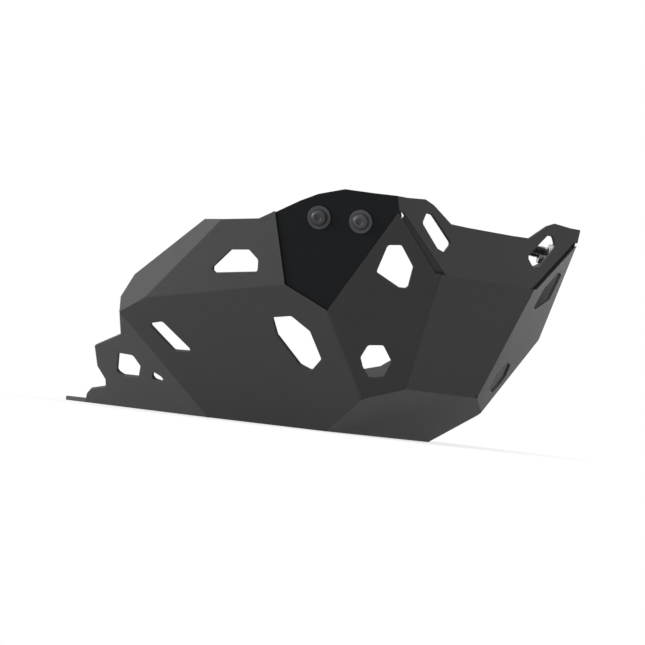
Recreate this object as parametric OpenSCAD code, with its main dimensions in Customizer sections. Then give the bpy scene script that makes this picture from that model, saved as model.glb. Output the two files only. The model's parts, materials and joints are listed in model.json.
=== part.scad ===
/* [Base plate] */
// Width of the flat base where its edges run parallel
base_w = 200; // [184:1:216]
// Narrowing of each of its side edges up to the fold in front
taper_in = 36.5; // [32:0.5:41]
// Length over which the base narrows to the front fold
taper_len = 118; // [108:1:128]
// Length of the parallel part, from the taper to the rear edge
base_rear_len = 216; // [205:1:230]
// Thickness of the base sheet
base_t = 4; // [3.5:0.1:4.5]
// Rise of the chamfer in front of the base, in degrees
chamfer_angle = 31; // [28:0.5:34]
// Depth of the notch in the middle of the rear edge
rear_notch_depth = 34; // [20:1:45]
// Width of the rear tongue on each side of that notch
tongue_w = 42; // [37:1:50]
// Cut on the outer corners of the two rear tongues
tongue_corner = 6; // [2:0.5:12]
// Bore of each mounting hole in the rear tongues
rear_hole_d = 9; // [8.4:0.1:10]
// Distance of those holes from the base's side edges
rear_hole_edge = 20; // [14:0.5:25]
// Distance of those holes from the rear edge
rear_hole_inset = 18; // [14:0.5:24]

/* [Front panel] */
// Height of the fold between the chamfer and the front
chin_h = 44; // [40:0.5:48]
// Distance of that fold's ends inside the base's front corners
chin_in = 19; // [16:0.5:22]
// Reach of the nose fold in front of that fold
nose_run = 41.8; // [36:0.1:48]
// Height of the nose fold above it
nose_rise = 100; // [92:0.5:107]
// Distance of the nose fold's ends outside the lower fold's ends
nose_out = 13.5; // [10:0.5:17]
// Backward lean of the front above the nose fold, in degrees
front_lean = 5; // [3:0.5:7]
// Height above the nose fold of the peaks where side, front and mount plate meet
peak_rise = 47; // [43:0.5:51]
// Distance of each peak outside the nose fold's end
peak_out = 53.5; // [50:0.5:57]
// Height of the front's top edge above the nose fold, between the horns
front_rise = 43.5; // [40:0.5:48]
// Height of the horns above that edge
horn_rise = 17.5; // [14:0.5:21]
// Distance between the inner shoulders of the horns
horn_gap = 98; // [88:1:108]
// Width of each horn's inner slope
horn_slope = 22; // [18:0.5:26]
// Thickness of the front and side sheets
sheet_t = 3; // [2.5:0.1:3.5]
// Outer radius of every bend
bend_r = 6; // [5:0.25:8]
// Width of the open joint beside the peak, on the front side face
joint_top_w = 2; // [1:0.25:3]
// Width of that joint beside the nose fold
joint_w = 5.5; // [4:0.25:7]
// Width of that joint on the front panel
joint_front_w = 5; // [4.5:0.1:6]
// Width of the lap flange behind that joint
lap_w = 13; // [12.5:0.1:14]

/* [Side panels] */
// Slope of the main side face above the ground, in degrees
side_angle = 51.3; // [49:0.1:53.5]
// Slope of the rear wall above the ground, in degrees
rear_wall_angle = 45.5; // [43:0.1:47]
// Upper fold: place of its rear end along the main side face
fold_u = -30; // [-36:1:-24]
// Upper fold: height of that end up the main side face
fold_v = 126; // [122:0.5:130]
// Upper fold: its rise towards the front, in degrees
fold_rise = 10.5; // [9:0.25:12]
// Upper fold: angle of the bend, in degrees
fold_bend = 26; // [22:0.5:30]
// Rear strip: rise of its fold line, in degrees
strip_rise = 40.5; // [38:0.5:44]
// Rear strip: angle of its bend, in degrees
strip_bend = 27.5; // [24:0.5:31]
// Height of the side's level top edge above the rear end of the upper fold
shelf_rise = 72.7; // [67:0.1:78]
// Height above that end where the rear strip's edge turns towards the front
shoulder_rise = 20.7; // [14:0.1:28]
// Height of the rear wall's top corner, measured up its slope
wall_top = 91; // [86:0.5:98]
// Height of the low flange at the rear wall's foot
tab_h = 19; // [14:0.5:24]

/* [Cut-outs] */
// Rear slot in the main side face: width
rear_slot_w = 40; // [30:1:46]
// Rear slot: height
rear_slot_h = 31; // [24:1:35]
// Rear slot: centre in front of the rear end of the upper fold
rear_slot_u = 16; // [12:0.5:21]
// Rear slot: centre below that end, along the face
rear_slot_v = -39.5; // [-44:0.5:-34]
// Large slot in the main side face: width
big_slot_w = 39; // [30:1:43]
// Large slot: height
big_slot_h = 57; // [46:1:60]
// Large slot: centre behind the mount plate's lowest corner
big_slot_u = -39.1; // [-43:0.1:-36]
// Large slot: centre below that corner, along the face
big_slot_v = -38.3; // [-44:0.1:-36]
// Window in the upper side face: width
upper_win_w = 56; // [44:1:62]
// Window in the upper side face: height
upper_win_h = 23; // [17:0.5:26]
// Window in the upper side face: centre behind the mount plate's rear corner
upper_win_u = -55.9; // [-62:0.1:-53]
// Window in the upper side face: centre above that corner, along the face
upper_win_v = 15.8; // [12:0.1:20]
// Upper window of the front side face: width
cheek_win_w = 31; // [24:1:33]
// Upper window of the front side face: height
cheek_win_h = 38.5; // [30:0.5:42]
// Upper window of the front side face: centre in front of the peak, along the face
cheek_win_u = 8.4; // [7:0.1:10]
// Upper window of the front side face: centre below the peak, along the face
cheek_win_v = -49.2; // [-53:0.1:-46]
// Lower window of the front side face: width
cheek_low_w = 28; // [22:1:32]
// Lower window of the front side face: height
cheek_low_h = 31; // [24:1:34]
// Lower window of the front side face: centre along the face
cheek_low_u = -32; // [-36:0.5:-28]
// Lower window of the front side face: centre up the face
cheek_low_v = 22.5; // [19:0.5:28]
// Square window in the rear wall: width
wall_win_w = 42; // [32:1:46]
// Square window in the rear wall: height
wall_win_h = 28; // [20:1:31]
// Square window in the rear wall: centre along the wall
wall_win_u = -77.5; // [-81:0.5:-74]
// Square window in the rear wall: centre up the wall
wall_win_v = 54; // [50:0.5:57]
// Small window in the rear wall: width
small_win_w = 21; // [16:1:24]
// Small window in the rear wall: height
small_win_h = 12; // [9:0.5:15]
// Small window in the rear wall: centre along the wall
small_win_u = -40.5; // [-43:0.5:-38]
// Small window in the rear wall: centre up the wall
small_win_v = 43.5; // [39:0.5:48]
// Horn slot in the front: width
horn_slot_w = 36; // [28:1:38]
// Horn slot in the front: height
horn_slot_h = 31; // [24:1:32]
// Horn slot in the front: centre outside the horn's inner shoulder
horn_slot_u = 16.5; // [15:0.5:19]
// Horn slot in the front: centre below the front's top edge
horn_slot_v = -9.2; // [-11.5:0.1:-8]
// Radius of the cut-outs' corners
cut_r = 3; // [1:0.25:3.5]

/* [Mount plates] */
// Thickness of each mount plate
plate_t = 4; // [3:0.25:5]
// Depth of its face behind the edges of the sheets around it
recess = 2; // [1:0.25:3]
// Cut-back of the side panel's front corner for the plate: down the front fold
tip_drop = 22.6; // [20.5:0.1:25]
// Cut-back of that corner: along the upper fold
corner_back = 31.5; // [28:0.1:35]
// Height of its top edge above the peak
crown_rise = 14; // [11:0.5:17]
// Width of the hidden flanges behind the side sheet
flange_w = 22; // [18:0.5:24]
// Spacing of the two mounting bolts
bolt_spacing = 36; // [30:0.5:40]
// Place of the bolts' middle in front of the plate's lowest corner
bolt_u = 4.5; // [2:0.5:7]
// Distance of the bolts below the plate's top edge
bolt_drop = 26; // [23:0.5:31]

/* [Fasteners] */
// Thread diameter of the mounting bolts
bolt_d = 8; // [7:0.5:8.5]
// Diameter of their button heads
head_d = 14; // [12:0.25:16]
// Height of their button heads
head_h = 4.4; // [3.5:0.1:5]
// Hexagon socket of the heads, across flats
socket_af = 5; // [4:0.25:6]
// Depth of the socket
socket_depth = 2.8; // [2:0.1:3.2]
// Outer diameter of the washers under the heads
washer_d = 20; // [18:0.5:22]
// Thickness of those washers
washer_t = 1.6; // [1.2:0.1:2]
// Outer diameter of the spacer sleeves behind the plates
sleeve_d = 16; // [14:0.5:20]
// Length of the spacer sleeves
sleeve_len = 12; // [8:0.5:20]
// Length of the relief groove of each mounting bolt, between sleeve and thread
relief_len = 1; // [0.6:0.2:3]
// Depth of that groove
relief_depth = 0.8; // [0.5:0.1:1.2]
// Length of its free thread
bolt_free = 20; // [14:0.5:24]
// Clearance of each hole around its bolt or stud, in diameter
hole_clearance = 0.5; // [0.3:0.1:0.8]
// Thread diameter of the weld studs
stud_d = 6; // [5:0.5:6.5]
// Length of thread that stands beyond each nut
stud_proud = 3; // [1.5:0.25:5]
// Flange nuts: width across flats
nut_af = 10; // [9:0.25:11]
// Flange nuts: overall height
nut_h = 6; // [5:0.25:7]
// Flange nuts: diameter of the flange
nut_flange_d = 14; // [12.5:0.25:15]

/* [Hidden] */

// Size of the blocks that stand for half of space
reach = 2000;
// Length that a cutting shape runs past what it cuts
past = 1;
// Largest turn between two neighbouring facets of a bend, in degrees
bend_step = 11;
// Facets of a rounded corner
corner_steps = 4;
// Clearance of a nut's bore around its stud, in diameter
thread_gap = 0.2;
// Height of a flange nut's flange
nut_flange_h = 1.5;
// Length of each hidden flange along its edge
flange_len = 30;
// Distance of a weld stud from the edge in front of it
stud_inset = 11;
// Lap flange: distance kept from the peak, and its reach past the nose
lap_start = 1;
lap_past_nose = 4;
// Length of each horn's level top, and its distance inside the peak
horn_top_len = 10;
horn_inset = 9.5;
// Distances of the hidden flanges from the mount plate's rear corner and from its lowest corner
rear_flange_gap = 11.2;
low_flange_gap = 6;
// Height at which the cut above the rim ends, far behind the part
far_cut_h = 40;
// Distance of a thread's crest under the shank's diameter
thread_under = 0.16;
// Chamfer at the end of a thread
thread_end = 1;
// Heights above the base and widths that follow from the sizes
base_front_w = base_w - 2 * taper_in;
nose_h = chin_h + nose_rise;
peak_h = nose_h + peak_rise;
horn_h = nose_h + front_rise + horn_rise;
crown_h = peak_h + crown_rise;
// Height of the block that the sheets are cut from
full_h = max(horn_h, crown_h) + past;
// Distances of the lower front fold and of the nose fold in front of the taper's start
chin_x = taper_len + chin_h / tan(chamfer_angle);
nose_x = chin_x + nose_run;
// Place of the part's origin, midway between rear edge and nose
mid_x = (nose_x - base_rear_len) / 2;

function unit(v) = v / norm(v);
// A face is its outward normal, its distance from the datum and its sheet's thickness
function face(n, p, t) = let (m = unit(n), s = m * (inner_point - p) > 0 ? -1 : 1) [s * m, s * m * p, t];
function face_through(a, b, c, t) = face(cross(b - a, c - a), a, t);
function meet(p, q, r) = (p[1] * cross(q[0], r[0]) + q[1] * cross(r[0], p[0]) + r[1] * cross(p[0], q[0]))
    / (p[0] * cross(q[0], r[0]));
function turned(n, axis, angle) = n * cos(angle) + cross(unit(axis), n) * sin(angle);
// Directions in a face: level, and up its slope
function along(f) = unit(cross([0, 0, 1], f[0]));
function up(f) = cross(f[0], along(f));
function on(f, o, u, v) = o + u * along(f) + v * up(f);
// Faces that touch the cylinder of a bend between two faces
function bend(p, q) = let (turn = acos(p[0] * q[0]), steps = ceil(turn / bend_step),
        share = p[0] * q[0],
        a = (p[1] - bend_r - share * (q[1] - bend_r)) / (1 - share * share),
        b = (q[1] - bend_r - share * (p[1] - bend_r)) / (1 - share * share),
        axis_point = a * p[0] + b * q[0])
    [for (k = [1 : steps - 1]) let (n = (p[0] * sin(turn * (1 - k / steps)) + q[0] * sin(turn * k / steps)) / sin(turn))
        [n, n * axis_point + bend_r, max(p[2], q[2])]];
// Half of space that belongs to face p, where the sheets of p and q are mitred
function nearer(p, q) = let (m = q[0] / q[2] - p[0] / p[2])
    [unit(m), (q[1] / q[2] - p[1] / p[2]) / norm(m)];
function mirrored(f) = [[f[0].x, -f[0].y, f[0].z], f[1], f[2]];
function both(faces) = concat(faces, [for (f = faces) mirrored(f)]);
// Outline with its corners rounded
function rounded(points, r) = [for (i = [0 : len(points) - 1])
    let (p = points[i], a = unit(points[(i + len(points) - 1) % len(points)] - p), b = unit(points[(i + 1) % len(points)] - p),
        half = acos(a * b) / 2, centre = p + unit(a + b) * r / sin(half),
        from = p + a * r / tan(half) - centre, to = p + b * r / tan(half) - centre)
    for (k = [0 : corner_steps]) centre + r * unit(from * (1 - k / corner_steps) + to * k / corner_steps)];
// Outline given as shares of a box, at its place in a face
function in_box(shape, u, v, w, h) = [for (p = shape) [u + p.x * w, v + p.y * h]];

// Corners and faces of the right-hand side, which the left mirrors
inner_point = [0, 0, nose_h];
taper_start = [0, -base_w / 2, 0];
taper_end = [taper_len, -base_front_w / 2, 0];
chin = taper_end + [chin_x - taper_len, chin_in, chin_h];
nose = chin + [nose_run, -nose_out, nose_rise];
peak = nose + [-peak_rise * tan(front_lean), -peak_out, peak_rise];

base = face([0, 0, -1], taper_start, base_t);
chamfer = face([sin(chamfer_angle), 0, -cos(chamfer_angle)], taper_end, base_t);
front_low = face([nose_h - chin_h, 0, chin_x - nose_x], nose, sheet_t);
front_high = face([cos(front_lean), 0, sin(front_lean)], nose, sheet_t);
cheek = face_through(chin, nose, peak, sheet_t);
taper_dir = unit(taper_end - taper_start);
side = face(turned([0, 0, -1], taper_dir, -side_angle), taper_start, sheet_t);
wall = face([0, -sin(rear_wall_angle), -cos(rear_wall_angle)], taper_start, sheet_t);
fold_rear = on(side, taper_start, fold_u, fold_v);
fold_dir = cos(fold_rise) * along(side) + sin(fold_rise) * up(side);
upper = face(turned(side[0], fold_dir, -fold_bend), fold_rear, sheet_t);
strip_dir = cos(strip_rise) * along(upper) + sin(strip_rise) * up(upper);
strip = face(turned(upper[0], strip_dir, -strip_bend), fold_rear, sheet_t);
front_corner = meet(side, upper, cheek);
tip = meet(side, cheek, [[0, 0, 1], front_corner.z - tip_drop]);
corner = meet(side, upper, [[1, 0, 0], front_corner.x - corner_back]);
mount = face_through(corner, tip, peak, recess + plate_t);
wall_foot = meet(side, wall, strip);
shelf_h = fold_rear.z + shelf_rise;
shelf_rear = meet(upper, strip, [[0, 0, 1], shelf_h]);
bolt_v = (crown_h - bolt_drop - tip.z) / up(mount).z;

foot_bends = concat(bend(side, wall), bend(side, cheek));
side_bends = concat(foot_bends, bend(side, upper), bend(upper, strip));
base_bend = bend(base, chamfer);
nose_bend = bend(front_low, front_high);

// Half of space on the inner side of a face, moved inwards by depth
module half_space(f, depth = 0) {
    rotate([0, acos(f[0].z), atan2(f[0].y, f[0].x)])
        translate([-reach / 2, -reach / 2, f[1] - depth - reach]) cube(reach);
}

// Thin wall inside all the faces
module shell(faces) {
    difference() {
        intersection() {
            intersection_for (f = faces) half_space(f);
            translate([-base_rear_len - past, -base_w, -past]) cube([base_rear_len + nose_x + 2 * past, 2 * base_w, full_h]);
        }
        intersection_for (f = faces) half_space(f, f[2]);
    }
}

// The part of the wall that is nearest to the faces in own, mitred against the others
module panel(own, others, bends) {
    difference() {
        shell(concat(own, others, bends));
        for (q = others) intersection_for (p = own) half_space(nearer(q, p));
    }
}

module on_face(f, o) {
    u = along(f);
    v = up(f);
    n = f[0];
    multmatrix([[u.x, v.x, n.x, o.x], [u.y, v.y, n.y, o.y], [u.z, v.z, n.z, o.z], [0, 0, 0, 1]]) children();
}

// Cut through the sheet of a face
module cut(f, o, outline) {
    on_face(f, o) translate([0, 0, -f[2] - past]) linear_extrude(f[2] + 2 * past) polygon(outline);
}

module on_side(name) {
    mirror([0, name == "left" ? 1 : 0, 0]) translate([-mid_x, 0, 0]) children();
}

// Outlines of the cut-outs as shares of their boxes, and of the rear wall's edge as shares of its length and height
rear_slot_shape = [[-0.5, 0.38], [-0.1, 0.5], [0.5, -0.48], [-0.02, -0.5]];
big_slot_shape = [[-0.5, 0.44], [0.02, 0.5], [0.4, 0.25], [0.5, -0.25], [0.14, -0.5], [-0.11, -0.41], [-0.5, 0.11]];
upper_win_shape = [[-0.5, -0.5], [-0.02, 0.45], [0.33, 0.5], [0.5, 0.15], [0.48, -0.3]];
cheek_win_shape = [[-0.5, -0.2], [-0.36, 0.46], [0.02, 0.5], [0.5, 0.02], [0.49, -0.5], [0.25, -0.5]];
cheek_low_shape = [[-0.5, 0.07], [-0.36, 0.45], [0.12, 0.5], [0.5, 0.05], [0.38, -0.43], [-0.08, -0.5], [-0.36, -0.2]];
wall_win_shape = [[-0.03, 0.5], [0.46, 0.46], [0.5, 0.02], [0.18, -0.5], [-0.36, -0.5], [-0.5, -0.34]];
small_win_shape = [[-0.1, 0.5], [0.5, -0.2], [0, -0.5], [-0.5, -0.36]];
wall_edge_shape = [[0.2685, 1], [0.5046, 0.813], [0.574, 0.538], [0.574, 0.363]];
tab_shape = [[0.6065, 1.21], [0.7315, 0.947], [0.778, 0.63], [0.8333, 0]];
horn_slot_shape = [[-0.38, 0.5], [-0.18, 0.48], [0.5, -0.22], [0.28, -0.5], [0.04, -0.42], [-0.5, 0.2]];

// Everything above the rim, seen from the side
module above_rim() {
    strip_len = fold_rear.x - wall_foot.x;
    shelf_len = corner.x - shelf_rear.x;
    crown_len = peak.x - corner.x;
    step = crown_h - shelf_h;
    front_z = crown_h - 0.11 * crown_rise;
    rim = [[wall_foot.x, wall_foot.z], [wall_foot.x - 0.106 * strip_len, fold_rear.z],
        [wall_foot.x + 0.306 * strip_len, fold_rear.z + shoulder_rise],
        [shelf_rear.x - 0.392 * shelf_len, shelf_h], [shelf_rear.x + 0.03 * shelf_len, shelf_h + 0.01 * step],
        [corner.x - 0.368 * shelf_len, shelf_h + 0.088 * step], [corner.x - 0.096 * shelf_len, shelf_h + 0.294 * step],
        [corner.x + 0.133 * crown_len, crown_h - 0.93 * crown_rise], [corner.x + 0.29 * crown_len, crown_h - 0.43 * crown_rise],
        [corner.x + 0.519 * crown_len, crown_h], [corner.x + 0.76 * crown_len, crown_h - 0.07 * crown_rise], [nose_x, front_z]];
    far = [[reach, front_z], [reach, reach], [-reach, reach], [-reach, far_cut_h], [-2 * base_rear_len, far_cut_h]];
    translate([0, reach, 0]) rotate([90, 0, 0]) linear_extrude(2 * reach) polygon(concat(rim, far));
}

// What is cut off the rear wall behind its free edge
module behind_wall() {
    foot = (wall_foot.z) / sin(rear_wall_angle);
    edge = concat([[wall_foot.x, foot]], [for (p = wall_edge_shape) [-p.x * base_rear_len, p.y * wall_top]],
        [for (p = tab_shape) [-p.x * base_rear_len, p.y * tab_h]]);
    end = -tab_shape[len(tab_shape) - 1].x * base_rear_len;
    far = [[end, -past], [-reach, -past], [-reach, foot]];
    cut(wall, taper_start, concat(edge, far));
}

module base_plate() {
    half_notch = base_w / 2 - tongue_w;
    color("#47474a") on_side("right") difference() {
        panel([base, chamfer], concat([front_low], both([side, wall, cheek])), concat(base_bend, both(foot_bends)));
        translate([0, 0, -past]) linear_extrude(base_t + 2 * past) {
            for (s = [-1, 1]) {
                polygon([[-base_rear_len, s * (base_w / 2 - tongue_corner)], [-base_rear_len + tongue_corner, s * base_w / 2],
                    [-base_rear_len + tongue_corner, s * base_w], [-reach, s * base_w], [-reach, s * (base_w / 2 - tongue_corner)]]);
            }
            polygon([[-base_rear_len, half_notch], [-base_rear_len + rear_notch_depth, half_notch - rear_notch_depth / 2],
                [-base_rear_len + rear_notch_depth, rear_notch_depth / 2 - half_notch], [-base_rear_len, -half_notch]]);
            translate([-2 * reach - base_rear_len, -reach]) square(2 * reach);
        }
        for (s = [-1, 1]) {
            translate([rear_hole_inset - base_rear_len, s * (base_w / 2 - rear_hole_edge), -past])
                cylinder(d = rear_hole_d, h = base_t + 2 * past, $fn = 48);
        }
    }
}

// Strip behind the cheek that the front panel is lapped and welded with
module lap_flange() {
    to_nose = [(nose - chin) * along(cheek), (nose - chin) * up(cheek)];
    to_peak = [(peak - chin) * along(cheek), (peak - chin) * up(cheek)];
    dir = unit(to_nose - to_peak);
    side_dir = [dir.y, -dir.x];
    first = to_peak + dir * lap_start;
    last = to_nose + dir * lap_past_nose;
    intersection() {
        on_face(cheek, chin) translate([0, 0, -2 * sheet_t]) linear_extrude(sheet_t)
            polygon([first + side_dir * lap_w, first - side_dir * lap_w, last - side_dir * lap_w, last + side_dir * lap_w]);
        half_space(front_high);
        half_space(front_low);
        half_space(nearer(cheek, mount));
    }
}

module front_panel() {
    centre = [nose_x, 0, nose_h];
    top = front_rise / cos(front_lean);
    horn = (horn_h - nose_h) / cos(front_lean);
    shoulder = horn_gap / 2;
    outline = [[0, top], [shoulder * 0.56, top], [shoulder, top + 0.03 * horn_rise], [shoulder + horn_slope, horn - 0.2 * horn_rise],
        [shoulder + horn_slope + horn_top_len, horn], [-peak.y - horn_inset, horn - 0.086 * horn_rise],
        [reach / 2, horn - 0.086 * horn_rise], [reach / 2, reach / 2], [0, reach / 2]];
    foot = [-nose.y, 0];
    head = [-peak.y, peak_rise / cos(front_lean)];
    joint = [foot - [joint_front_w, 0], head - [joint_front_w, 0], head + [joint_w, 0], foot + [joint_w, 0]];
    color("#3f4043") on_side("right") {
        difference() {
            panel([front_low, front_high], concat([chamfer], both([cheek, mount])), nose_bend);
            for (s = [-1, 1]) {
                cut(front_high, centre, [for (p = outline) [s * p.x, p.y]]);
                cut(front_high, centre, [for (p = joint) [s * p.x, p.y]]);
                cut(front_high, centre, [for (p = rounded(in_box(horn_slot_shape, -shoulder - horn_slot_u, top + horn_slot_v,
                    horn_slot_w, horn_slot_h), cut_r)) [-s * p.x, p.y]]);
            }
        }
        for (s = [0, 1]) mirror([0, s, 0]) lap_flange();
    }
}

module side_panel(name) {
    to_nose = [(nose - chin) * along(cheek), (nose - chin) * up(cheek)];
    to_peak = [(peak - chin) * along(cheek), (peak - chin) * up(cheek)];
    color("#434346") on_side(name) difference() {
        panel([side, wall, cheek, upper, strip], [base, chamfer, front_low, front_high, mount],
            concat(side_bends, base_bend, nose_bend));
        above_rim();
        behind_wall();
        cut(side, fold_rear, rounded(in_box(rear_slot_shape, rear_slot_u, rear_slot_v, rear_slot_w, rear_slot_h), cut_r));
        cut(side, tip, rounded(in_box(big_slot_shape, big_slot_u, big_slot_v, big_slot_w, big_slot_h), cut_r));
        cut(upper, corner, rounded(in_box(upper_win_shape, upper_win_u, upper_win_v, upper_win_w, upper_win_h), cut_r));
        cut(cheek, peak, rounded(in_box(cheek_win_shape, cheek_win_u, cheek_win_v, cheek_win_w, cheek_win_h), cut_r));
        cut(cheek, chin, rounded(in_box(cheek_low_shape, cheek_low_u, cheek_low_v, cheek_low_w, cheek_low_h), cut_r));
        cut(wall, taper_start, rounded(in_box(wall_win_shape, wall_win_u, wall_win_v, wall_win_w, wall_win_h), cut_r));
        cut(wall, taper_start, rounded(in_box(small_win_shape, small_win_u, small_win_v, small_win_w, small_win_h), cut_r));
        cut(cheek, chin, [to_peak - [joint_top_w, 0], to_peak + [joint_w, 0], to_nose + [joint_w, 0], to_nose - [joint_w, 0]]);
    }
}

upper_edge = unit(cross(upper[0], mount[0])) * sign(cross(upper[0], mount[0]).z);
// Edges of the mount plate that carry a hidden flange: the face behind which it lies, its middle and its direction
flange_edges = [
    [upper, corner + upper_edge * (flange_len / 2 + rear_flange_gap), upper_edge],
    [side, (corner + tip) / 2, tip - corner],
    [cheek, tip + unit(peak - tip) * (flange_len / 2 + low_flange_gap), peak - tip]];

// Frame on a flange: its own X runs along the edge, Y away from it and Z outwards
module on_flange(k) {
    f = flange_edges[k][0];
    u = unit(flange_edges[k][2]);
    v = cross(f[0], u);
    o = flange_edges[k][1];
    n = f[0];
    multmatrix([[u.x, v.x, n.x, o.x], [u.y, v.y, n.y, o.y], [u.z, v.z, n.z, o.z], [0, 0, 0, 1]]) children();
}

// Side of each edge on which its flange lies
flange_sides = [1, -1, -1];

module flange(k) {
    intersection() {
        on_flange(k) translate([-flange_len / 2, flange_sides[k] > 0 ? -flange_w / 2 : -flange_w, -sheet_t - plate_t])
            cube([flange_len, 1.5 * flange_w, plate_t]);
        half_space(mount, recess);
    }
}

module mount_plate(name) {
    color("#1f2123") on_side(name) difference() {
        union() {
            intersection() {
                panel([mount], [upper, side, cheek, front_high], []);
                half_space(mount, recess);
            }
            for (k = [0 : 2]) flange(k);
        }
        above_rim();
        for (i = [-1, 1]) {
            on_face(mount, tip) translate([bolt_u + i * bolt_spacing / 2, bolt_v, -2 * plate_t - recess])
                cylinder(d = bolt_d + hole_clearance, h = 3 * plate_t, $fn = 48);
        }
        for (k = [0 : 2]) {
            on_flange(k) translate([0, flange_sides[k] * stud_inset, -sheet_t - plate_t - past])
                cylinder(d = stud_d + hole_clearance, h = plate_t + 2 * past, $fn = 36);
        }
    }
}

// Frame on a mounting bolt: Z points out of the plate, from its outer face
module on_bolt(name, i) {
    on_side(name) on_face(mount, tip) translate([bolt_u + i * bolt_spacing / 2, bolt_v, -recess]) children();
}

module mount_bolt(name, i) {
    dome_r = (pow(head_d / 2, 2) + pow(head_h, 2)) / (2 * head_h);
    shank = washer_t + plate_t + sleeve_len;
    thread_start = shank + relief_len;
    thread_d = bolt_d - thread_under;
    color("#5a5b5d") on_bolt(name, i) translate([0, 0, washer_t]) difference() {
        union() {
            intersection() {
                translate([0, 0, head_h - dome_r]) sphere(r = dome_r, $fn = 64);
                cylinder(r = head_d, h = head_h + past, $fn = 64);
            }
            translate([0, 0, -shank]) cylinder(d = bolt_d, h = shank + head_h / 2, $fn = 48);
            translate([0, 0, -thread_start]) cylinder(d = bolt_d - 2 * relief_depth, h = thread_start, $fn = 48);
            translate([0, 0, -thread_start - bolt_free]) cylinder(d = thread_d, h = bolt_free, $fn = 48);
            translate([0, 0, -thread_start - bolt_free - thread_end])
                cylinder(d1 = thread_d - 2 * thread_end, d2 = thread_d, h = thread_end, $fn = 48);
        }
        translate([0, 0, head_h - socket_depth]) cylinder(d = socket_af / cos(30), h = socket_depth + past, $fn = 6);
    }
}

module washer(name, i) {
    color("#4c4d4f") on_bolt(name, i) difference() {
        cylinder(d = washer_d, h = washer_t, $fn = 64);
        translate([0, 0, -past]) cylinder(d = bolt_d + hole_clearance, h = washer_t + 2 * past, $fn = 48);
    }
}

module spacer_sleeve(name, i) {
    color("silver") on_bolt(name, i) translate([0, 0, -plate_t - sleeve_len]) difference() {
        cylinder(d = sleeve_d, h = sleeve_len, $fn = 64);
        translate([0, 0, -past]) cylinder(d = bolt_d + hole_clearance, h = sleeve_len + 2 * past, $fn = 48);
    }
}

// Frame on a weld stud: Z points inwards, from the inner face of the sheet
module on_stud(name, k) {
    on_side(name) on_flange(k) translate([0, flange_sides[k] * stud_inset, -sheet_t]) mirror([0, 0, 1]) children();
}

module weld_stud(name, k) {
    top = plate_t + nut_h + stud_proud;
    color("silver") on_stud(name, k) {
        cylinder(d = stud_d, h = top - thread_end, $fn = 36);
        translate([0, 0, top - thread_end]) cylinder(d1 = stud_d, d2 = stud_d - 2 * thread_end, h = thread_end, $fn = 36);
    }
}

module flange_nut(name, k) {
    color("silver") on_stud(name, k) translate([0, 0, plate_t]) difference() {
        union() {
            cylinder(d = nut_flange_d, h = nut_flange_h, $fn = 48);
            cylinder(d = nut_af / cos(30), h = nut_h, $fn = 6);
        }
        translate([0, 0, -past]) cylinder(d = stud_d + thread_gap, h = nut_h + 2 * past, $fn = 36);
    }
}

base_plate();
front_panel();
side_panel("right");  // side_panel_right
side_panel("left");  // side_panel_left
mount_plate("right");  // mount_plate_right
mount_plate("left");  // mount_plate_left
mount_bolt("right", -1);  // mount_bolt_right_rear
mount_bolt("right", 1);  // mount_bolt_right_front
mount_bolt("left", -1);  // mount_bolt_left_rear
mount_bolt("left", 1);  // mount_bolt_left_front
washer("right", -1);  // washer_right_rear
washer("right", 1);  // washer_right_front
washer("left", -1);  // washer_left_rear
washer("left", 1);  // washer_left_front
spacer_sleeve("right", -1);  // spacer_sleeve_right_rear
spacer_sleeve("right", 1);  // spacer_sleeve_right_front
spacer_sleeve("left", -1);  // spacer_sleeve_left_rear
spacer_sleeve("left", 1);  // spacer_sleeve_left_front
weld_stud("right", 0);  // weld_stud_right_upper
weld_stud("right", 1);  // weld_stud_right_lower
weld_stud("right", 2);  // weld_stud_right_front
weld_stud("left", 0);  // weld_stud_left_upper
weld_stud("left", 1);  // weld_stud_left_lower
weld_stud("left", 2);  // weld_stud_left_front
flange_nut("right", 0);  // flange_nut_right_upper
flange_nut("right", 1);  // flange_nut_right_lower
flange_nut("right", 2);  // flange_nut_right_front
flange_nut("left", 0);  // flange_nut_left_upper
flange_nut("left", 1);  // flange_nut_left_lower
flange_nut("left", 2);  // flange_nut_left_front
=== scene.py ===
import json
import math

import bmesh
import bpy
from mathutils import Matrix, Vector
from mathutils.bvhtree import BVHTree


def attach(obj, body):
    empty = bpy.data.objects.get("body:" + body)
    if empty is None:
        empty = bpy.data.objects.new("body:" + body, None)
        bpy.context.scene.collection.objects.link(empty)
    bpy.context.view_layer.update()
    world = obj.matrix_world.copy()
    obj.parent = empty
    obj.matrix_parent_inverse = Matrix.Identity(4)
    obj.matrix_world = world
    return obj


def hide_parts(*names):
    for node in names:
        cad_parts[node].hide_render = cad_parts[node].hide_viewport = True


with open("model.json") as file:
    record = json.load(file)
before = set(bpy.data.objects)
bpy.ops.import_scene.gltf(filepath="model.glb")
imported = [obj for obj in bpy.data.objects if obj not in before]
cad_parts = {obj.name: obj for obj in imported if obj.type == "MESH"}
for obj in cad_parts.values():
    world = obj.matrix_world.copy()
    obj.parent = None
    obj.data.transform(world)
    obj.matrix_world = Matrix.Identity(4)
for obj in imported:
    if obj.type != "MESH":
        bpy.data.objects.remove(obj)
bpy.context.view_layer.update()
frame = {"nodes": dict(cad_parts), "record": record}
mounts = {m["name"]: m for m in frame["record"]["mounts"]}
sides = ["right", "left"]
print("frame loaded")


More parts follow.
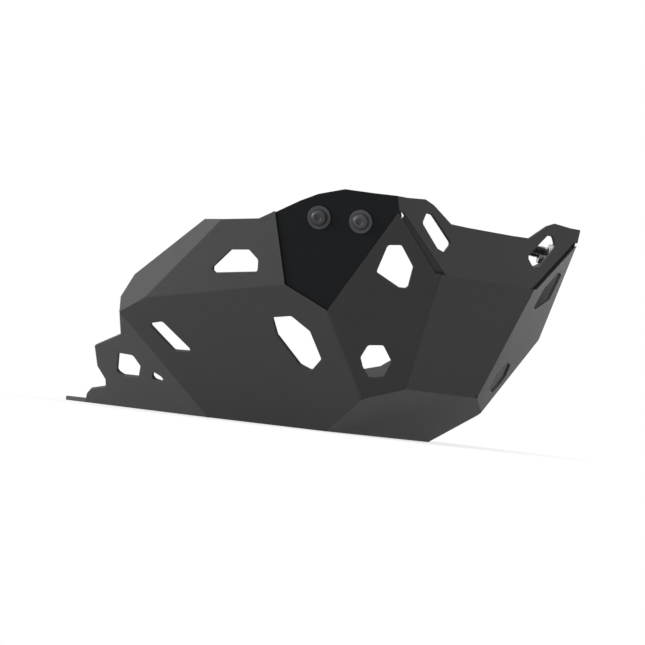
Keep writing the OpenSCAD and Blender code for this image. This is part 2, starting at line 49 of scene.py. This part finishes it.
# shader groups shared by the finishes
def newGroup(name, inputs, outputs):
    group = bpy.data.node_groups.new(name, "ShaderNodeTree")
    for label, value in inputs:
        socket = group.interface.new_socket(label, in_out="INPUT", socket_type="NodeSocketFloat")
        socket.default_value = value
    for label, kind in outputs:
        group.interface.new_socket(label, in_out="OUTPUT", socket_type=kind)
    return group, group.nodes.new("NodeGroupInput"), group.nodes.new("NodeGroupOutput")


def add(tree, kind, **settings):
    node = tree.nodes.new(kind)
    for key, value in settings.items():
        setattr(node, key, value)
    return node


def mathNode(tree, operation, a, b, clamp=False):
    node = add(tree, "ShaderNodeMath", operation=operation, use_clamp=clamp)
    for i, value in enumerate((a, b)):
        if isinstance(value, (int, float)):
            node.inputs[i].default_value = value
        else:
            tree.links.new(value, node.inputs[i])
    return node.outputs[0]


def noise(tree, vector, scale, detail, roughness=0.5):
    node = add(tree, "ShaderNodeTexNoise")
    node.inputs["Detail"].default_value = detail
    node.inputs["Roughness"].default_value = roughness
    tree.links.new(scale, node.inputs["Scale"])
    tree.links.new(vector, node.inputs["Vector"])
    return node.outputs["Fac"]


grainShape = {"coarseScale": 0.31, "pebbleShare": 0.65, "coarseShare": 0.35, "speckleScale": 1.7}


def makeCoatGrain():
    # fine pebbled surface of a powder coat: height, slow patches of tone and small specks
    results = [(label, "NodeSocketFloat") for label in ("Height", "Patches", "Speckle")]
    group, source, sink = newGroup("coatGrain", [("Pebble Scale", 900.0), ("Patch Scale", 14.0)], results)
    place = add(group, "ShaderNodeTexCoord").outputs["Object"]
    scale = source.outputs["Pebble Scale"]
    coarseScale = mathNode(group, "MULTIPLY", scale, grainShape["coarseScale"])
    speckleScale = mathNode(group, "MULTIPLY", scale, grainShape["speckleScale"])
    pebbles = noise(group, place, scale, detail=2.0, roughness=0.55)
    coarse = noise(group, place, coarseScale, detail=1.0)
    height = mathNode(group, "ADD", mathNode(group, "MULTIPLY", pebbles, grainShape["pebbleShare"]),
                      mathNode(group, "MULTIPLY", coarse, grainShape["coarseShare"]))
    patches = noise(group, place, source.outputs["Patch Scale"], detail=3.0, roughness=0.6)
    speckle = noise(group, place, speckleScale, detail=0.0)
    group.links.new(height, sink.inputs["Height"])
    group.links.new(patches, sink.inputs["Patches"])
    group.links.new(speckle, sink.inputs["Speckle"])
    return group


edgeGain = 5.0


def makeEdgeMask():
    # 1 on convex and concave edges, broken up by a noise; it places the painted edge highlight
    inputs = [("Radius", 0.0008), ("Breakup Scale", 120.0), ("Breakup", 0.6)]
    group, source, sink = newGroup("edgeMask", inputs, [("Mask", "NodeSocketFloat")])
    place = add(group, "ShaderNodeTexCoord").outputs["Object"]
    bevel = add(group, "ShaderNodeBevel", samples=4)
    group.links.new(source.outputs["Radius"], bevel.inputs["Radius"])
    straight = add(group, "ShaderNodeNewGeometry").outputs["Normal"]
    dot = add(group, "ShaderNodeVectorMath", operation="DOT_PRODUCT")
    group.links.new(bevel.outputs["Normal"], dot.inputs[0])
    group.links.new(straight, dot.inputs[1])
    bend = mathNode(group, "SUBTRACT", 1.0, dot.outputs["Value"])
    edge = mathNode(group, "MULTIPLY", bend, edgeGain, clamp=True)
    broken = noise(group, place, source.outputs["Breakup Scale"], detail=3.0, roughness=0.65)
    lost = mathNode(group, "MULTIPLY", broken, source.outputs["Breakup"])
    keep = mathNode(group, "SUBTRACT", 1.0, lost, clamp=True)
    group.links.new(mathNode(group, "MULTIPLY", edge, keep, clamp=True), sink.inputs["Mask"])
    return group


coatGrain = makeCoatGrain()
edgeMask = makeEdgeMask()


def mixColour(tree, factor, a, b):
    node = add(tree, "ShaderNodeMix", data_type="RGBA")
    tree.links.new(factor, node.inputs[0])
    for i, value in ((6, a), (7, b)):
        if isinstance(value, (tuple, list)):
            node.inputs[i].default_value = (*value, 1.0)
        else:
            tree.links.new(value, node.inputs[i])
    return node.outputs[2]


def remap(tree, value, low, high, toLow, toHigh):
    node = add(tree, "ShaderNodeMapRange")
    tree.links.new(value, node.inputs["Value"])
    for label, number in (("From Min", low), ("From Max", high), ("To Min", toLow), ("To Max", toHigh)):
        node.inputs[label].default_value = number
    return node.outputs["Result"]


toneRange = {"patchLow": 0.3, "patchHigh": 0.7, "speckleLow": 0.45, "speckleHigh": 0.75, "roughLow": 0.25,
             "roughHigh": 0.75, "smoother": 0.04, "rougher": 0.05}


def coatedMetal(name, values):
    material = bpy.data.materials.new(name)
    material.use_nodes = True
    tree = material.node_tree
    shader = tree.nodes["Principled BSDF"]
    grain = add(tree, "ShaderNodeGroup", node_tree=coatGrain)
    grain.inputs["Pebble Scale"].default_value = values["pebbleScale"]
    grain.inputs["Patch Scale"].default_value = values["patchScale"]
    edge = add(tree, "ShaderNodeGroup", node_tree=edgeMask)
    edge.inputs["Radius"].default_value = values["edgeRadius"]
    edge.inputs["Breakup"].default_value = values["edgeBreakup"]
    patch = remap(tree, grain.outputs["Patches"], toneRange["patchLow"], toneRange["patchHigh"], 0.0, 1.0)
    tone = mixColour(tree, patch, values["darkTone"], values["lightTone"])
    specks = remap(tree, grain.outputs["Speckle"], toneRange["speckleLow"], toneRange["speckleHigh"],
                   0.0, values["speckle"])
    speckled = mixColour(tree, specks, tone, values["speckleTone"])
    # the colour is lightened towards the edge tone along edges and folds: a painted highlight
    paintedHighlight = mathNode(tree, "MULTIPLY", edge.outputs["Mask"], values["edgeHighlightAmount"])
    highlighted = mixColour(tree, paintedHighlight, speckled, values["edgeHighlightTone"])
    tree.links.new(highlighted, shader.inputs["Base Color"])
    rough = remap(tree, grain.outputs["Patches"], toneRange["roughLow"], toneRange["roughHigh"],
                  values["roughness"] - toneRange["smoother"], values["roughness"] + toneRange["rougher"])
    tree.links.new(rough, shader.inputs["Roughness"])
    shader.inputs["Metallic"].default_value = values["metallic"]
    shader.inputs["Specular IOR Level"].default_value = values["specular"]
    bump = add(tree, "ShaderNodeBump")
    bump.inputs["Strength"].default_value = values["bump"]
    bump.inputs["Distance"].default_value = values["bumpDepth"]
    tree.links.new(grain.outputs["Height"], bump.inputs["Height"])
    tree.links.new(bump.outputs["Normal"], shader.inputs["Normal"])
    return material


# in each finish the edge tone and edge amount set a painted highlight along edges and folds
sheetFinish = {  # dark grey powder coat with a fine texture
    "darkTone": (0.034, 0.034, 0.0355), "lightTone": (0.041, 0.041, 0.0425),
    "speckleTone": (0.07, 0.07, 0.07), "speckle": 0.35,
    "edgeHighlightTone": (0.11, 0.11, 0.113), "edgeHighlightAmount": 0.3, "edgeRadius": 0.0009, "edgeBreakup": 0.5,
    "pebbleScale": 1150.0, "patchScale": 11.0, "bump": 0.35, "bumpDepth": 0.0004,
    "roughness": 0.52, "specular": 0.22, "metallic": 0.0}
plateFinish = {  # nearly black satin coat of the mount plates
    "darkTone": (0.0058, 0.0068, 0.0078), "lightTone": (0.0078, 0.0089, 0.0099),
    "speckleTone": (0.018, 0.018, 0.019), "speckle": 0.25,
    "edgeHighlightTone": (0.035, 0.035, 0.037), "edgeHighlightAmount": 0.35, "edgeRadius": 0.0008, "edgeBreakup": 0.5,
    "pebbleScale": 1500.0, "patchScale": 16.0, "bump": 0.2, "bumpDepth": 0.0003,
    "roughness": 0.5, "specular": 0.1, "metallic": 0.0}
boltFinish = {  # dark zinc-nickel on bolt heads and washers
    "darkTone": (0.045, 0.046, 0.048), "lightTone": (0.07, 0.071, 0.074),
    "speckleTone": (0.1, 0.1, 0.1), "speckle": 0.15,
    "edgeHighlightTone": (0.16, 0.16, 0.165), "edgeHighlightAmount": 0.5, "edgeRadius": 0.0005, "edgeBreakup": 0.5,
    "pebbleScale": 2600.0, "patchScale": 60.0, "bump": 0.1, "bumpDepth": 0.0002,
    "roughness": 0.4, "specular": 0.2, "metallic": 0.8}
zincFinish = {  # bright zinc plate of sleeves and nuts
    "darkTone": (0.38, 0.38, 0.37), "lightTone": (0.54, 0.54, 0.52),
    "speckleTone": (0.62, 0.62, 0.6), "speckle": 0.2,
    "edgeHighlightTone": (0.72, 0.72, 0.7), "edgeHighlightAmount": 0.6, "edgeRadius": 0.0005, "edgeBreakup": 0.5,
    "pebbleScale": 1800.0, "patchScale": 70.0, "bump": 0.1, "bumpDepth": 0.0002,
    "roughness": 0.38, "specular": 0.5, "metallic": 1.0}
studFinish = dict(zincFinish, darkTone=(0.46, 0.46, 0.46), lightTone=(0.58, 0.58, 0.58), roughness=0.34)
finishes = {
    "sheet_coat": coatedMetal("sheetCoat", sheetFinish), "plate_coat": coatedMetal("plateCoat", plateFinish),
    "bolt_coat": coatedMetal("boltCoat", boltFinish), "zinc_steel": coatedMetal("zincSteel", zincFinish),
    "aluminium": coatedMetal("studMetal", studFinish)}
nodeSlot = {s["node"]: s["material_slot"] for s in frame["record"]["subparts"]}
for name, node in frame["nodes"].items():
    node.data.materials.clear()
    node.data.materials.append(finishes[nodeSlot[name]])
print("finishes made")


# pieces that stand for CAD nodes, with their edges broken
flatAngle = 0.6  # degrees between triangles that are one flat face
samePoint = 0.0000001
sameCorner = 0.00001
shadingWeight = 80


def mergedCopy(nodeName, wholeFaces=True, merge=sameCorner):
    bm = bmesh.new()
    bm.from_mesh(frame["nodes"][nodeName].data)
    bmesh.ops.remove_doubles(bm, verts=bm.verts, dist=merge)
    if wholeFaces:
        bmesh.ops.dissolve_limit(bm, angle_limit=math.radians(flatAngle), verts=bm.verts, edges=bm.edges)
    return bm


def addPiece(name, bm, slot, nodes=(), weighted=True, sharp=None):
    mesh = bpy.data.meshes.new(name)
    for face in bm.faces:
        face.smooth = True
    if sharp:
        for edge in bm.edges:
            edge.smooth = len(edge.link_faces) == 2 and edge.calc_face_angle(0) < math.radians(sharp)
    bm.to_mesh(mesh)
    bm.free()
    piece = bpy.data.objects.new(name, mesh)
    bpy.context.scene.collection.objects.link(piece)
    mesh.materials.append(finishes[slot])
    if weighted:
        modifier = piece.modifiers.new("evenShading", "WEIGHTED_NORMAL")
        modifier.weight = shadingWeight
        modifier.keep_sharp = True
    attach(piece, "root")
    if nodes:
        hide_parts(*nodes)


def breakEdges(bm, width, angle, clamp=True):
    edges = [e for e in bm.edges if len(e.link_faces) == 2 and e.calc_face_angle(0) > math.radians(angle)]
    bmesh.ops.bevel(bm, geom=edges, offset=width, offset_type="OFFSET", affect="EDGES", segments=2,
                    profile=0.5, material=-1, clamp_overlap=clamp)


def mirroredCopy(bm):
    copy = bm.copy()
    bmesh.ops.scale(copy, vec=(1, -1, 1), verts=copy.verts)
    bmesh.ops.reverse_faces(copy, faces=copy.faces)
    return copy


sheets = {"edge": 0.0004, "angle": 25.0, "merge": 0.00003}


def brokenSheet(nodeName, values):
    bm = mergedCopy(nodeName, merge=values["merge"])
    surface = BVHTree.FromBMesh(bm)
    breakEdges(bm, values["edge"], values["angle"], clamp=False)
    for vert in bm.verts:  # a corner thrown out by the bevel goes back to the sheet's own surface
        nearest = surface.find_nearest(vert.co)
        if (vert.co - nearest[0]).length > values["edge"]:
            vert.co = nearest[0]
    return bm


for nodeName in ("base_plate", "front_panel"):
    addPiece(nodeName + "_sheet", brokenSheet(nodeName, sheets), "sheet_coat", [nodeName])
rightPanel = brokenSheet("side_panel_right", sheets)
addPiece("side_panel_left_sheet", mirroredCopy(rightPanel), "sheet_coat", ["side_panel_left"])
addPiece("side_panel_right_sheet", rightPanel, "sheet_coat", ["side_panel_right"])
print("sheets made")

plates = {"edge": 0.0005, "angle": 25.0, "merge": 0.00003}
rightPlate = brokenSheet("mount_plate_right", plates)
addPiece("mount_plate_left_pressing", mirroredCopy(rightPlate), "plate_coat", ["mount_plate_left"])
addPiece("mount_plate_right_pressing", rightPlate, "plate_coat", ["mount_plate_right"])
print("mount plates made")


turnedSteps = 24
threadSharp = 38.0  # degrees


def turnProfile(bm, profile):
    # full turn of a half section about the z axis
    verts = [bm.verts.new((radius, 0, height)) for radius, height in profile]
    edges = [bm.edges.new(pair) for pair in zip(verts, verts[1:])]
    bmesh.ops.spin(bm, geom=verts + edges, cent=(0, 0, 0), axis=(0, 0, 1), angle=math.tau, steps=turnedSteps,
                   use_merge=True)
    bmesh.ops.remove_doubles(bm, verts=bm.verts, dist=samePoint)


threadForm = {"sunk": 0.0001, "proud": 0.00001, "start": 0.04, "crestStart": 0.44, "crestEnd": 0.56,
              "end": 0.96}


def threadRidge(bm, shape, low, high):
    # one closed ridge that winds up the core from low to high, run out at both ends
    crest, root, pitch = shape["crest"], shape["root"], shape["pitch"]
    turns = int((high - low) / pitch) - 1
    inner = root - threadForm["sunk"]
    section = [(inner, threadForm["start"]), (crest, threadForm["crestStart"]),
               (crest, threadForm["crestEnd"]), (inner, threadForm["end"])]
    start = [bm.verts.new((radius, 0, low + part * pitch)) for radius, part in section]
    face = bm.faces.new(start)
    bmesh.ops.spin(bm, geom=[face, *face.edges, *start], cent=(0, 0, 0), axis=(0, 0, 1),
                   angle=math.tau * turns, steps=turnedSteps * turns, dvec=(0, 0, pitch / turnedSteps))
    for vert in bm.verts:
        radius = vert.co.xy.length
        limit = root + min(vert.co.z - low, high - vert.co.z) * shape["runOut"]
        if low < vert.co.z < high and radius > max(limit, root + threadForm["proud"]):
            vert.co.xy *= limit / radius


def shapeRing(bm, edges, place):
    # extrudes a ring of edges and puts each new vertex where place says
    new = bmesh.ops.extrude_edge_only(bm, edges=edges)["geom"]
    for vert in (item for item in new if isinstance(item, bmesh.types.BMVert)):
        vert.co = place(vert.co)
    return [item for item in new if isinstance(item, bmesh.types.BMEdge) and item.is_boundary]


def standOn(bm, origin, axis):
    bmesh.ops.recalc_face_normals(bm, faces=bm.faces)
    bm.transform(Matrix.Translation(origin) @ axis.to_track_quat("Z", "Y").to_matrix().to_4x4())


def reachAlong(nodeName, axis):
    heights = [v.co.dot(axis) for v in frame["nodes"][nodeName].data.vertices]
    return min(heights), max(heights)


mountBolt = {
    "headRadius": 0.007, "headHeight": 0.0044, "flatRadius": 0.0036, "skirt": 0.0009, "domeSteps": 8,
    "socketRim": 0.0031, "socketFlats": 0.005, "socketDepth": 0.0028, "socketEdge": 0.0003,
    "drillTip": 0.0006, "shank": 0.004, "neck": 0.0003, "groove": 0.0032, "grooveLength": 0.001,
    "grooveSlope": 0.0006, "threadLength": 0.02, "threadSlope": 0.0002, "endChamfer": 0.0004,
    "crest": 0.00392, "root": 0.00318, "pitch": 0.00125, "runOut": 0.9,
    "turned": {"rear": 14.0, "front": 41.0}}


def makeMountBolt(side, end):
    name, shape = "mount_bolt_%s_%s" % (side, end), mountBolt
    pin = mounts["bolt_end_%s_%s" % (side, end)]
    out = -Vector(pin["axis"]).normalized()
    low, high = reachAlong(name, out)
    under = high - shape["headHeight"]
    tip = low - under
    threadTop = tip + shape["threadLength"]
    grooveTop = threadTop + shape["grooveLength"]
    drop, skirt, neck = shape["headHeight"] - shape["skirt"], shape["skirt"], shape["neck"]
    span = shape["headRadius"] - shape["flatRadius"]
    profile = [(shape["socketRim"], shape["headHeight"]), (shape["flatRadius"], shape["headHeight"])]
    for i in range(1, shape["domeSteps"] + 1):
        angle = math.radians(i * 90 / shape["domeSteps"])
        profile.append((shape["flatRadius"] + span * math.sin(angle), skirt + drop * math.cos(angle)))
    profile += [(shape["headRadius"], neck), (shape["headRadius"] - neck, 0), (shape["shank"] + neck, 0),
                (shape["shank"], -neck), (shape["shank"], grooveTop + shape["grooveSlope"]),
                (shape["groove"], grooveTop), (shape["groove"], threadTop),
                (shape["root"], threadTop - shape["threadSlope"]), (shape["root"], tip + shape["endChamfer"]),
                (shape["root"] - shape["endChamfer"], tip), (0, tip)]
    bm = bmesh.new()
    turnProfile(bm, profile)
    flat, socketTop = shape["socketFlats"] / 2, shape["headHeight"] - shape["socketEdge"]
    socketFloor = shape["headHeight"] - shape["socketDepth"]

    def onHexagon(point):
        angle = math.degrees(math.atan2(point.y, point.x)) % 60 - 30
        scale = flat / math.cos(math.radians(angle)) / point.xy.length
        return Vector((point.x * scale, point.y * scale, socketTop))

    rim = shapeRing(bm, [e for e in bm.edges if e.is_boundary], onHexagon)
    floorEdge = shapeRing(bm, rim, lambda p: Vector((p.x, p.y, socketFloor)))
    shapeRing(bm, floorEdge, lambda p: Vector((0, 0, socketFloor - shape["drillTip"])))
    bmesh.ops.remove_doubles(bm, verts=bm.verts, dist=samePoint)
    threadRidge(bm, shape, tip, threadTop)
    bm.transform(Matrix.Rotation(math.radians(shape["turned"][end]), 4, "Z"))
    start = Vector(pin["pos_m"])
    standOn(bm, start + out * (under - start.dot(out)), out)
    addPiece(name + "_screw", bm, "bolt_coat", [name], sharp=threadSharp)


fittings = {"edge": 0.00025, "angle": 35.0}
for side in sides:
    for end in ("rear", "front"):
        makeMountBolt(side, end)
        for kind, slot in (("washer", "bolt_coat"), ("spacer_sleeve", "zinc_steel")):
            name = "%s_%s_%s" % (kind, side, end)
            bm = mergedCopy(name)
            breakEdges(bm, fittings["edge"], fittings["angle"])
            addPiece(name + "_turned", bm, slot, [name])
print("mounting bolts, washers and sleeves made")

weldStud = {"crest": 0.00296, "root": 0.0024, "pitch": 0.001, "runOut": 0.8, "endChamfer": 0.0004}


def makeWeldStud(side, place):
    name = "weld_stud_%s_%s" % (side, place)
    bm = mergedCopy(name)
    ends = sorted(bm.faces, key=lambda f: len(f.verts))[-2:]  # the two round ends, the foot being the larger
    foot, top = sorted(ends, key=lambda f: f.calc_area(), reverse=True)
    origin, axis = foot.calc_center_median(), top.calc_center_median() - foot.calc_center_median()
    bm.free()
    height, root, chamfer = axis.length, weldStud["root"], weldStud["endChamfer"]
    bm = bmesh.new()
    profile = [(0, 0), (root, 0), (root, height - chamfer), (root - chamfer, height), (0, height)]
    turnProfile(bm, profile)
    threadRidge(bm, weldStud, 0, height)
    standOn(bm, origin, axis.normalized())
    addPiece(name + "_thread", bm, "aluminium", [name], sharp=threadSharp)


nuts = {"edge": 0.0003, "angle": 30.0}
for side in sides:
    for place in ("upper", "lower", "front"):
        makeWeldStud(side, place)
        name = "flange_nut_%s_%s" % (side, place)
        bm = mergedCopy(name)
        breakEdges(bm, nuts["edge"], nuts["angle"])
        addPiece(name + "_hexagon", bm, "zinc_steel", [name])
print("weld studs and nuts made")


seamSearch = {"crease": 20.0, "offLine": 0.00005, "shortest": 0.0005, "facing": 0.05, "nextTo": 0.0004}


def creaseEdges(nodeName):
    # each sharp edge of a sheet, with its two faces' normals and the ways that lead into them
    bm = mergedCopy(nodeName, wholeFaces=False)
    found = []
    for edge in bm.edges:
        if len(edge.link_faces) == 2 and edge.calc_face_angle(0) > math.radians(seamSearch["crease"]):
            start, end = (v.co.copy() for v in edge.verts)
            way = (end - start).normalized()
            faces = []
            for face in edge.link_faces:
                inward = face.calc_center_median() - start
                faces.append((face.normal.copy(), (inward - way * inward.dot(way)).normalized()))
            found.append((start, end, faces))
    bm.free()
    return found


def innerSeams(first, second):
    # stretches along which two sheets meet in a hollow corner
    found, gap = [], seamSearch["offLine"]
    for start, end, facesOne in first:
        way, length = (end - start).normalized(), (end - start).length
        for other, last, facesTwo in second:
            if max((p - start).cross(way).length for p in (other, last)) > gap:
                continue
            low, high = sorted((p - start).dot(way) for p in (other, last))
            low, high = max(low, 0.0), min(high, length)
            if high - low < seamSearch["shortest"]:
                continue
            here, there = start + way * low, start + way * high
            if any(min((here - a).length + (there - b).length, (here - b).length + (there - a).length) < gap
                   for a, b, side in found):
                continue
            hollow = [(one + two).normalized() for one, inwardOne in facesOne for two, inwardTwo in facesTwo
                      if min(inwardTwo.dot(one), inwardOne.dot(two)) > seamSearch["facing"]]
            if hollow:
                found.append((here, there, hollow[0]))
    return found


def joinStretches(stretches):
    # end-to-end stretches become one run of (point, open side)
    runs, left = [], list(stretches)
    while left:
        start, end, side = left.pop()
        run = [(start, side), (end, side)]
        grown = True
        while grown:
            grown = False
            for item in list(left):
                a, b, way = item
                for near, far in ((a, b), (b, a)):
                    if (near - run[-1][0]).length < seamSearch["nextTo"]:
                        run.append((far, way))
                    elif (near - run[0][0]).length < seamSearch["nextTo"]:
                        run.insert(0, (far, way))
                    else:
                        continue
                    grown = True
                    left.remove(item)
                    break
        runs.append(run)
    return runs


def stretchLengths(run):
    return [(b[0] - a[0]).length for a, b in zip(run, run[1:])]


def evenSteps(run, step):
    # points at even distances along a run
    lengths = stretchLengths(run)
    total = sum(lengths)
    count = round(total / step)
    points = []
    for i in range(count + 1):
        left, k = total * i / count, 0
        while k < len(lengths) - 1 and left > lengths[k]:
            left -= lengths[k]
            k += 1
        part = min(left / lengths[k], 1.0)
        points.append((run[k][0].lerp(run[k + 1][0], part), run[k][1].lerp(run[k + 1][1], part).normalized()))
    return points


weldBead = {"radius": 0.0021, "step": 0.0007, "ripple": (1.08, 1.0, 0.9), "ending": 0.6, "shortest": 0.012,
            "segments": 10}


def makeWeldBead(name, run):
    # a round bead with even ripples, grown ring by ring along the run
    points = evenSteps(run, weldBead["step"])
    bm = bmesh.new()
    placed = None
    for i, (point, side) in enumerate(points):
        before, after = points[max(i - 1, 0)][0], points[min(i + 1, len(points) - 1)][0]
        way = (after - before).normalized()
        across = way.cross(side).normalized()
        size = weldBead["radius"] * weldBead["ripple"][i % len(weldBead["ripple"])]
        if i in (0, len(points) - 1):
            size *= weldBead["ending"]
        turn = Matrix((across, way.cross(across), way)).transposed().to_4x4()
        matrix = Matrix.Translation(point) @ turn @ Matrix.Diagonal((size, size, size, 1))
        if placed is None:
            bmesh.ops.create_circle(bm, cap_ends=True, segments=weldBead["segments"], radius=1, matrix=matrix)
            cap = bm.faces[:][0]
        else:
            last = cap
            new = bmesh.ops.extrude_face_region(bm, geom=[last])["geom"]
            cap = next(item for item in new if isinstance(item, bmesh.types.BMFace))
            if i > 1:  # the cap before is now inside the bead
                bm.faces.remove(last)
            bmesh.ops.transform(bm, matrix=matrix @ placed.inverted(), verts=cap.verts[:])
        placed = matrix
    bmesh.ops.recalc_face_normals(bm, faces=bm.faces)
    addPiece(name, bm, "sheet_coat", weighted=False)


sheetNames = ("base_plate", "front_panel", "side_panel_right", "side_panel_left")
creases = {name: creaseEdges(name) for name in sheetNames}
seams = [("chin", "base_plate", "front_panel")]
for side in sides:
    seams += [("foot_" + side, "base_plate", "side_panel_" + side),
              ("cheek_" + side, "front_panel", "side_panel_" + side)]
for label, first, second in seams:
    runs = joinStretches(innerSeams(creases[first], creases[second]))
    runs = [run for run in runs if sum(stretchLengths(run)) > weldBead["shortest"]]
    for i, run in enumerate(runs):
        makeWeldBead("weld_%s_%d" % (label, i + 1), run)
    print("weld", label, len(runs))


# floor, backdrop, light and camera
stageValues = {"floorSize": 40.0, "floorDrop": 0.0003, "floorTone": (0.82, 0.82, 0.82), "floorRoughness": 0.9,
               "floorSpecular": 0.1, "skyLevel": 0.27, "shadowShare": 0.28, "whiteFrom": 0.12,
               "whiteBy": 0.29}


def seenByCamera(tree):
    # 1 where the camera, a reflection or a view through glass meets the backdrop
    path = add(tree, "ShaderNodeLightPath")
    direct = mathNode(tree, "ADD", path.outputs["Is Camera Ray"], path.outputs["Is Glossy Ray"], clamp=True)
    return mathNode(tree, "ADD", direct, path.outputs["Is Transmission Ray"], clamp=True)


def makeFloor():
    bm = bmesh.new()
    bmesh.ops.create_grid(bm, x_segments=1, y_segments=1, size=stageValues["floorSize"] / 2)
    drop = -stageValues["floorDrop"]  # a hair below the flat base
    bmesh.ops.translate(bm, vec=(0, 0, drop), verts=bm.verts)
    mesh = bpy.data.meshes.new("floor")
    bm.to_mesh(mesh)
    bm.free()
    floor = bpy.data.objects.new("floor", mesh)
    bpy.context.scene.collection.objects.link(floor)
    material = bpy.data.materials.new("paleFloor")
    material.use_nodes = True
    tree = material.node_tree
    shader = tree.nodes["Principled BSDF"]
    shader.inputs["Base Color"].default_value = (*stageValues["floorTone"], 1)
    shader.inputs["Roughness"].default_value = stageValues["floorRoughness"]
    shader.inputs["Specular IOR Level"].default_value = stageValues["floorSpecular"]
    glow = add(tree, "ShaderNodeEmission")
    # the floor turns plain white away from the part, and keeps its shadow near it
    reach = add(tree, "ShaderNodeVectorMath", operation="LENGTH")
    tree.links.new(add(tree, "ShaderNodeTexCoord").outputs["Object"], reach.inputs[0])
    white = remap(tree, reach.outputs["Value"], stageValues["whiteFrom"], stageValues["whiteBy"],
                  1 - stageValues["shadowShare"], 1.0)
    mix = add(tree, "ShaderNodeMixShader")
    tree.links.new(mathNode(tree, "MULTIPLY", seenByCamera(tree), white), mix.inputs["Fac"])
    tree.links.new(shader.outputs[0], mix.inputs[1])
    tree.links.new(glow.outputs[0], mix.inputs[2])
    # seen from below, the floor lets the underside of the part show
    clear = add(tree, "ShaderNodeBsdfTransparent")
    bothWays = add(tree, "ShaderNodeMixShader")
    tree.links.new(add(tree, "ShaderNodeNewGeometry").outputs["Backfacing"], bothWays.inputs["Fac"])
    tree.links.new(mix.outputs[0], bothWays.inputs[1])
    tree.links.new(clear.outputs[0], bothWays.inputs[2])
    tree.links.new(bothWays.outputs[0], tree.nodes["Material Output"].inputs["Surface"])
    mesh.materials.append(material)


makeFloor()
world = bpy.data.worlds.new("paleRoom")
bpy.context.scene.world = world
world.use_nodes = True
worldTree = world.node_tree
sky = worldTree.nodes["Background"]
level = remap(worldTree, seenByCamera(worldTree), 0.0, 1.0, stageValues["skyLevel"], 1.0)
worldTree.links.new(level, sky.inputs["Strength"])
sky.inputs["Color"].default_value = (1, 1, 1, 1)

lampAim = Vector((0, 0, 0.1))
lamps = [  # name, place, size, watts
    ("sideSoftbox", (-1.4, -1.9, 0.75), 1.2, 42.0),
    ("lowSoftbox", (-0.2, -2.4, 0.8), 1.2, 10.0),
    ("topSoftbox", (0.1, -0.3, 2.3), 1.8, 11.0),
    ("frontSoftbox", (2.3, 1.8, 0.5), 1.0, 7.0),
    ("farSoftbox", (-0.3, 2.4, 0.5), 1.0, 22.0)]
for name, place, size, watts in lamps:
    data = bpy.data.lights.new(name, "AREA")
    data.shape = "SQUARE"
    data.size = size
    data.energy = watts
    lamp = bpy.data.objects.new(name, data)
    lamp.location = place
    lamp.rotation_mode = "QUATERNION"
    lamp.rotation_quaternion = (Vector(place) - lampAim).to_track_quat("Z", "Y")
    bpy.context.scene.collection.objects.link(lamp)

view = {"place": (1.916, -1.739, 0.022), "aim": (0.035, -0.014, 0.097), "roll": 6.5, "lens": 157.0,
        "sensor": 36.0}


def makeCamera():
    data = bpy.data.cameras.new("camera")
    data.sensor_width = view["sensor"]
    data.lens = view["lens"]
    camera = bpy.data.objects.new("camera", data)
    place, aim = Vector(view["place"]), Vector(view["aim"])
    level = (place - aim).to_track_quat("Z", "Y").to_matrix().to_4x4()
    roll = Matrix.Rotation(math.radians(view["roll"]), 4, "Z")
    camera.matrix_world = Matrix.Translation(place) @ level @ roll
    bpy.context.scene.collection.objects.link(camera)
    bpy.context.scene.camera = camera


makeCamera()
bpy.context.scene.view_settings.view_transform = "Standard"
print("stage, lamps and camera made")
